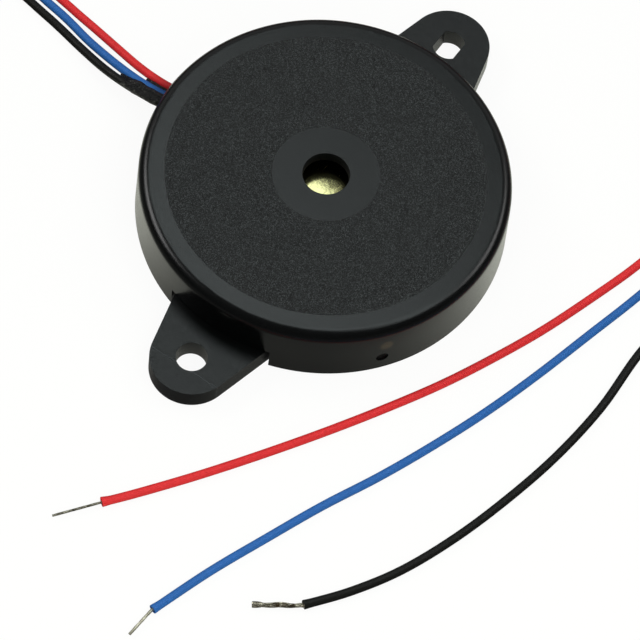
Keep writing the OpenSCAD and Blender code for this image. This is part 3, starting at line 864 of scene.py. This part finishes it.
class BUZZER_OT_leads(bpy.types.Operator):
    bl_idname = "buzzer.leads"
    bl_label = "Leads"

    def execute(self, context):
        sizes = context.scene.buzzer_leads
        for color, route, stop, flare, trim, wire_r, metal in (
            ("red", RED_ROUTE, RED_TIP_END, 0.08 * MM, 0.12 * MM, sizes.wire_r, "red wire"),
            ("blue", BLUE_ROUTE, BLUE_TIP_END, 0.05 * MM, 0, 1.2 * sizes.wire_r, "tinned wire"),
            ("black", BLACK_ROUTE, BLACK_TIP_END, 0.04 * MM, 0, sizes.twist_r, "black wire"),
        ):
            line = lead_line(route, sizes.lead_r)
            lead = self.insulation(f"{color}_insulation", line, sizes, flare, trim)
            dress(lead, f"{color} insulation", f"{color}_lead")
            bare_end = self.twisted_end if color == "black" else self.straight_end
            tip = bare_end(f"{color}_bare_end", line, stop, wire_r, sizes.strands)
            dress(tip, metal, f"{color}_tip")
            start = [c * MM for c in route[2]]
            start[2] += sizes.lead_r
        return {"FINISHED"}

    def insulation(self, name, line, sizes, flare, trim):
        """A lead's insulation, trimmed, swollen where it was cut, and hollow round the wire."""
        ahead = (line[-1] - line[-2]).normalized()
        end = line[-1] - ahead * trim
        centres = [p for p in line if (p - end).length > 1.3 * MM]
        radii = [sizes.lead_r] * len(centres)
        for back, rise, share in (
            (1.2, 0, 0), (0.8, 0.2, 0.2), (0.45, 0.6, 0.6), (0.12, 1, 1), (0.03, 1, 0.9), (0, 1, 0.4),
        ):
            centres.append(end - ahead * back * MM + Vector((0, 0, flare * rise)))
            radii.append(sizes.lead_r + flare * share)
        lead = tube(name, centres, radii, 4)
        near = 0.7 * MM
        edit_faces(lead, lambda face: face.normal.dot(ahead) > 0.9 and (face.center - end).length < near)
        bpy.ops.mesh.dissolve_faces()
        bpy.ops.mesh.inset(thickness=0.14 * MM)
        bpy.ops.mesh.extrude_region_move(TRANSFORM_OT_translate={"value": tuple(-ahead * 0.6 * MM)})
        close()
        smooth_shade(lead, 50)
        return lead

    def end_line(self, line, stop):
        """The middle of a bare end, from inside the cut insulation to where it stops."""
        ahead = (line[-1] - line[-2]).normalized()
        points = [line[-1] - ahead * MM, line[-1] - ahead * 0.4 * MM, line[-1] + ahead * 0.2 * MM]
        return spline(points + [Vector((stop[0] * MM, stop[1] * MM, line[-1].z))], 24)

    def strand(self, middle, offsets, strand_r, turns, start):
        """One strand wound round a middle line, at an offset from it for each point."""
        wound = []
        for i, (point, offset) in enumerate(zip(middle, offsets)):
            forward = (middle[min(i + 1, len(middle) - 1)] - middle[max(i - 1, 0)]).normalized()
            side = forward.cross(Vector((0, 0, 1))).normalized()
            up = side.cross(forward)
            angle = 2 * pi * (start + turns * i / (len(middle) - 1))
            wound.append(point + (side * cos(angle) + up * sin(angle)) * offset)
        return tube("strand", wound, [strand_r] * len(wound), 1)

    def straight_end(self, name, line, stop, wire_r, count):
        """A tinned wire: twisted strands that the tin has drawn together."""
        middle = self.end_line(line, stop)
        strand_r = wire_r * 0.42
        strands = [tube("strand", middle, [wire_r * 0.8] * len(middle), 2)]
        for strand in range(count):
            offsets = [wire_r - strand_r] * len(middle)
            strands.append(self.strand(middle, offsets, strand_r, 1.5, strand / count))
        wire = join(name, strands)
        melt(wire, 0.03 * MM, 2)
        smooth_shade(wire, 60)
        return wire

    def twisted_end(self, name, line, stop, wire_r, count):
        """A loosely twisted wire, narrow where it leaves the insulation, with a blob of tin at its end."""
        middle = self.end_line(line, stop)
        strand_r = 0.1 * MM
        shares = (0.2, 0.2, 0.2, 0.2, 0.2, 0.22, 0.3, 0.55, 0.8, 0.95, 0.7, 0.6, 0.9, 0.9, 0.7, 0.75)
        profile = [wire_r * share for share in shares]
        strands = [tube("strand", middle, [0.07 * MM] * len(middle), 1)]
        for strand in range(count):
            offsets = []
            for i in range(len(middle)):
                offsets.append(between(profile, i / (len(middle) - 1)) * (1 - 0.3 * (strand % 2)))
            strands.append(self.strand(middle, offsets, strand_r, 2.1, strand / count + 0.04 * (strand % 2)))
        ahead = (middle[-1] - middle[-4]).normalized()
        blob = [middle[-1] - ahead * back * MM for back in (1.3, 1.0, 0.6, 0.25, 0.0)]
        strands.append(tube("blob", blob, [r * MM for r in (0.2, 0.33, 0.38, 0.4, 0.37)], 3))
        wire = join(name, strands)
        melt(wire, 0.035 * MM, 1)
        smooth_shade(wire, 60)
        return wire


class BUZZER_OT_case(bpy.types.Operator):
    """Turns the case and cuts its notches"""

    bl_idname = "buzzer.case"
    bl_label = "Case"

    def execute(self, context):
        sizes = context.scene.buzzer_case
        case = turned("moulded_case", self.profile(sizes))
        far = sizes.case_r + 1 * MM
        ear_half = sizes.ear_half + sizes.notch_gap
        notch_in, notch_top = 17 * MM, PLATE_HIGH + 0.1 * MM
        exit_in = 18.7 * MM
        for low, high in (
            ((-far, -ear_half, -MM), (-notch_in, ear_half, notch_top)),
            ((notch_in, -ear_half, -MM), (far, ear_half, notch_top)),
            ((-sizes.exit_half, exit_in, -MM), (sizes.exit_half, far, sizes.exit_top)),
        ):
            combine(case, block("notch", low, high), "DIFFERENCE")
        tidy_faces(case)
        round_edges(case, 0.1 * MM, 2)
        combine(case, self.gate(sizes), "DIFFERENCE")
        flatten_shade(case)
        dress(case, "case plastic", "case")
        return {"FINISHED"}

    def gate(self, sizes):
        """A short rod across the wall, which leaves the gate mark's pit."""
        out = sizes.case_r + 0.25 * MM
        place = (out * cos(sizes.gate_angle), out * sin(sizes.gate_angle), sizes.gate_z)
        bpy.ops.mesh.primitive_cylinder_add(
            vertices=24, radius=sizes.gate_r, depth=1 * MM, location=place,
            rotation=(0, pi / 2, sizes.gate_angle),
        )
        return settle("gate")

    def profile(self, sizes):
        """The case's section as (radius, height), from the sound hole over the top and back inside."""
        rim_z = CASE_TOP - sizes.rim_r
        rim_x = sizes.case_r - (sizes.rim_r + rim_z * sin(sizes.draft)) / cos(sizes.draft)
        recess_r = sizes.case_r - sizes.wall_t
        inner_r = recess_r - sizes.step_w
        ceiling = CASE_TOP - sizes.top_t
        locator_in = BRASS_R + 0.15 * MM
        locator_out = locator_in + 0.9 * MM
        locator_low = BRASS_TOP - 0.7 * MM
        seat_in = BRASS_R - sizes.seat_w
        steps = 10
        rim = []
        for i in range(steps + 1):
            angle = pi / 2 - (pi / 2 - sizes.draft) * i / steps
            rim.append((rim_x + sizes.rim_r * cos(angle), rim_z + sizes.rim_r * sin(angle)))
        return [
            (sizes.sound_r, ceiling), (sizes.sound_r, CASE_TOP), (SMOOTH_RING_R, CASE_TOP),
            (MATTE_DISC_R, CASE_TOP), *rim, (sizes.case_r, 0), (recess_r, 0), (recess_r, PLATE_HIGH),
            (inner_r, PLATE_HIGH), (inner_r, ceiling), (locator_out, ceiling), (locator_out, locator_low),
            (locator_in, locator_low), (locator_in, BRASS_TOP), (seat_in, BRASS_TOP), (seat_in, ceiling),
        ]


class BUZZER_OT_base(bpy.types.Operator):
    """Makes the base plate with its two ears"""

    bl_idname = "buzzer.base"
    bl_label = "Base plate"

    def execute(self, context):
        sizes = context.scene.buzzer_case
        plate = rod("moulded_base", PLATE_R, (0, 0), PLATE_LOW, PLATE_HIGH, 192)
        hole_x = sizes.case_r + sizes.ear_reach
        for side in (-1, 1):
            combine(plate, self.ear(sizes, hole_x, side), "UNION")
            end = rod("ear end", EAR_TIP - hole_x, (side * hole_x, 0), PLATE_LOW, PLATE_HIGH, 96)
            combine(plate, end, "UNION")
        tidy_faces(plate)
        low, high = PLATE_LOW - MM, PLATE_HIGH + MM
        combine(plate, rod("hole", sizes.hole_r, (-hole_x, 0), low, high, 64), "DIFFERENCE")
        slot = rod("slot", sizes.slot_r, (hole_x, 0), low, high, 64)
        beside, half = 3 * MM, sizes.slot_half
        flats = block("flats", (hole_x - beside, -half, low - MM), (hole_x + beside, half, high + MM))
        combine(slot, flats, "INTERSECT")
        combine(plate, slot, "DIFFERENCE")
        combine(plate, rod("pocket", POCKET_R, (0, 0), PLATE_FLOOR, high, 160), "DIFFERENCE")
        tidy_faces(plate)
        round_edges(plate, sizes.edge_r, 4)
        flatten_shade(plate)
        dress(plate, "base plastic", "base_plate")
        return {"FINISHED"}

    def ear(self, sizes, hole_x, side):
        """One ear's straight sides: a standing face drawn out past the case's edge, then in to its end."""
        end_r = EAR_TIP - hole_x
        leave = hole_x - sqrt(sizes.case_r**2 - sizes.ear_half**2)
        taper = acos(end_r / hypot(leave, sizes.ear_half)) - atan2(leave, sizes.ear_half)
        hidden = 1.2 * MM
        root_half = sizes.ear_half + hidden * tan(taper)
        place = (side * POCKET_R, 0, (PLATE_LOW + PLATE_HIGH) / 2)
        bpy.ops.mesh.primitive_plane_add(size=1, location=place, rotation=(0, side * pi / 2, 0))
        bpy.context.object.scale = (PLATE_HIGH - PLATE_LOW, 2 * root_half, 1)
        ear = settle("ear")
        edit(ear)
        out = side * (hole_x - leave - hidden - POCKET_R)
        bpy.ops.mesh.extrude_region_move(TRANSFORM_OT_translate={"value": (out, 0, 0)})
        out = side * (leave + hidden + end_r * sin(taper))
        bpy.ops.mesh.extrude_region_move(TRANSFORM_OT_translate={"value": (out, 0, 0)})
        narrow = end_r * cos(taper) / root_half
        bpy.ops.transform.resize(value=(1, narrow, 1), center_override=(0, 0, 0))
        bpy.ops.mesh.select_all(action="SELECT")
        bpy.ops.mesh.normals_make_consistent(inside=False)
        close()
        return ear


class BUZZER_OT_sealant(bpy.types.Operator):
    """Makes the black sealant where the leads leave"""

    bl_idname = "buzzer.sealant"
    bl_label = "Sealant"

    def execute(self, context):
        case = context.scene.buzzer_case
        leads = context.scene.buzzer_leads
        routes = (RED_ROUTE, BLUE_ROUTE, BLACK_ROUTE)
        red, blue, black = (lead_line(route, leads.lead_r) for route in routes)
        plug_in, proud = 19 * MM, case.case_r - 0.05 * MM
        half = case.exit_half
        sealant = join("sealant_smear", [
            block("plug", (-half, plug_in, PLATE_HIGH - 0.15 * MM), (half, proud, case.exit_top)),
            block("plug", (-half, PLATE_R, PLATE_LOW), (half, proud, PLATE_HIGH)),
            self.coat(black, BLACK_COAT, 1, case, leads),
            self.coat(self.groove(blue, black, 0.1 * MM), BLACK_GROOVE, 1, case, leads),
            self.coat(self.groove(blue, red, -0.1 * MM), RED_GROOVE, 0.58, case, leads),
        ])
        melt(sealant, 0.08 * MM, 5)
        for vertex in sealant.data.vertices:
            if vertex.co.y > proud:
                swell = noise.noise(vertex.co * 900) * 0.08 + noise.noise(vertex.co * 2600) * 0.03
                vertex.co += vertex.normal * swell * MM
        smooth_shade(sealant, 60)
        dress(sealant, "black sealant", "lead_sealant")
        return {"FINISHED"}

    def groove(self, line, other, rise):
        """The line midway between two leads, raised or lowered a little."""
        middle = []
        for point in line:
            beside = min(other, key=lambda p: abs(p.y - point.y) + abs(p.x - point.x) * 0.01)
            middle.append((point + beside) / 2 + Vector((0, 0, rise)))
        return middle

    def coat(self, line, extra, share, case, leads):
        """Sealant round a line outside the case, with what its radius exceeds a lead's at even steps."""
        inside = 0.3 * MM
        start = case.case_r - inside
        length = share * leads.coat_l + inside
        first = line[:10 * ROUTE_STEPS]
        near = [p for p in first if start <= p.y <= start + length]
        radii = [leads.lead_r + between(extra, (p.y - start) / length) * MM for p in near]
        return tube("coat", near, radii, 4)


class BUZZER_PT_panel(bpy.types.Panel):
    """Lists the steps that build the buzzer"""

    bl_idname = "BUZZER_PT_panel"
    bl_label = "Buzzer"
    bl_space_type = "VIEW_3D"
    bl_region_type = "UI"
    bl_category = "Buzzer"

    def draw(self, context):
        for operator in OPERATORS:
            self.layout.operator(operator.bl_idname)


OPERATORS = (
    BUZZER_OT_studio,
    BUZZER_OT_finishes,
    BUZZER_OT_leads,
    BUZZER_OT_case,
    BUZZER_OT_base,
    BUZZER_OT_sealant,
)
GROUPS = {
    "buzzer_case": CaseSizes,
    "buzzer_leads": LeadSizes,
    "buzzer_finishes": Finishes,
    "buzzer_studio": StudioSizes,
}


def register():
    """Registers the sizes, the steps and their panel."""
    for name, sizes in GROUPS.items():
        bpy.utils.register_class(sizes)
        setattr(bpy.types.Scene, name, PointerProperty(type=sizes))
    for operator in OPERATORS:
        bpy.utils.register_class(operator)
    bpy.utils.register_class(BUZZER_PT_panel)


def unregister():
    """Takes the panel, the steps and the sizes away again."""
    bpy.utils.unregister_class(BUZZER_PT_panel)
    for operator in reversed(OPERATORS):
        bpy.utils.unregister_class(operator)
    for name, sizes in GROUPS.items():
        delattr(bpy.types.Scene, name)
        bpy.utils.unregister_class(sizes)


def main():
    """Builds everything in order."""
    register()
    bpy.ops.buzzer.studio()
    bpy.ops.buzzer.finishes()
    bpy.ops.buzzer.leads()
    bpy.ops.buzzer.case()
    bpy.ops.buzzer.base()
    bpy.ops.buzzer.sealant()


if __name__ == "__main__":
    main()
